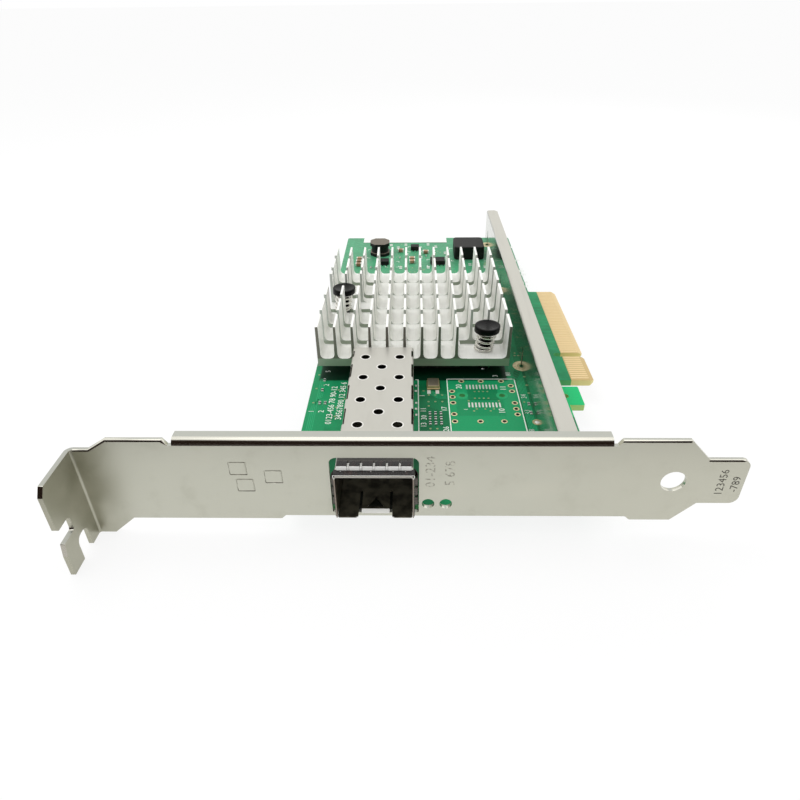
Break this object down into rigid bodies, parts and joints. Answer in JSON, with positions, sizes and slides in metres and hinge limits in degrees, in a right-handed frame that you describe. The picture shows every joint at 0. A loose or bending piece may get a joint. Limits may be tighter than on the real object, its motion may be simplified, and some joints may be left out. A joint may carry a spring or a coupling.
{
  "type": "network interface card",
  "caption": "Expansion card for a server: green board with a metal transceiver cage, a cross-cut finned heat sink, a stiffening rail and a folded steel bracket.",
  "frame": {"origin": "on the bracket's outer face, at the board's component side and in line with the board's top edge (the edge away from the contacts)", "axes": "+Y from the bracket's outer face to the rear of the board, +X from the board's top edge to its contact edge, +Z out of the board's component side"},
  "size_m": [0.1201, 0.158, 0.0222],
  "materials": {
    "solder_mask_green": "satin",
    "plated_contact": "satin",
    "tinned_pad": "satin",
    "bracket_steel": "satin",
    "screw_steel": "satin",
    "cage_steel": "bright",
    "spring_steel": "bright",
    "black_plastic": "matte",
    "sink_aluminium": "satin",
    "thermal_pad_grey": "matte",
    "chip_black": "matte",
    "rail_steel": "bright",
    "capacitor_beige": "matte",
    "resistor_dark": "matte",
    "light_clear": "gloss",
    "label_white": "matte"
  },
  "bodies": {
    "root": {"circuit_board": "solder_mask_green", "edge_contacts_front": "plated_contact", "edge_contacts_back": "plated_contact", "plated_rings": "plated_contact", "footprint_pads": "tinned_pad", "bracket": "bracket_steel", "bracket_screws": "screw_steel", "cage_shell": "cage_steel", "cage_floor": "cage_steel", "cage_spring_collar": "spring_steel", "host_socket": "black_plastic", "host_contacts": "plated_contact", "heat_sink": "sink_aluminium", "thermal_pad": "thermal_pad_grey", "controller_chip": "chip_black", "push_pin_front": "black_plastic", "push_pin_rear": "black_plastic", "pin_spring_front": "spring_steel", "pin_spring_rear": "spring_steel", "stiffener_rail": "rail_steel", "crystal_can": "cage_steel", "power_inductor": "chip_black", "output_choke": "chip_black", "memory_chip": "chip_black", "regulator_chip": "chip_black", "driver_chip": "chip_black", "bulk_capacitors": "capacitor_beige", "chip_resistors": "resistor_dark", "underside_capacitors": "capacitor_beige", "indicator_lights": "light_clear", "label_strip": "label_white"}
  },
  "joints": []
}
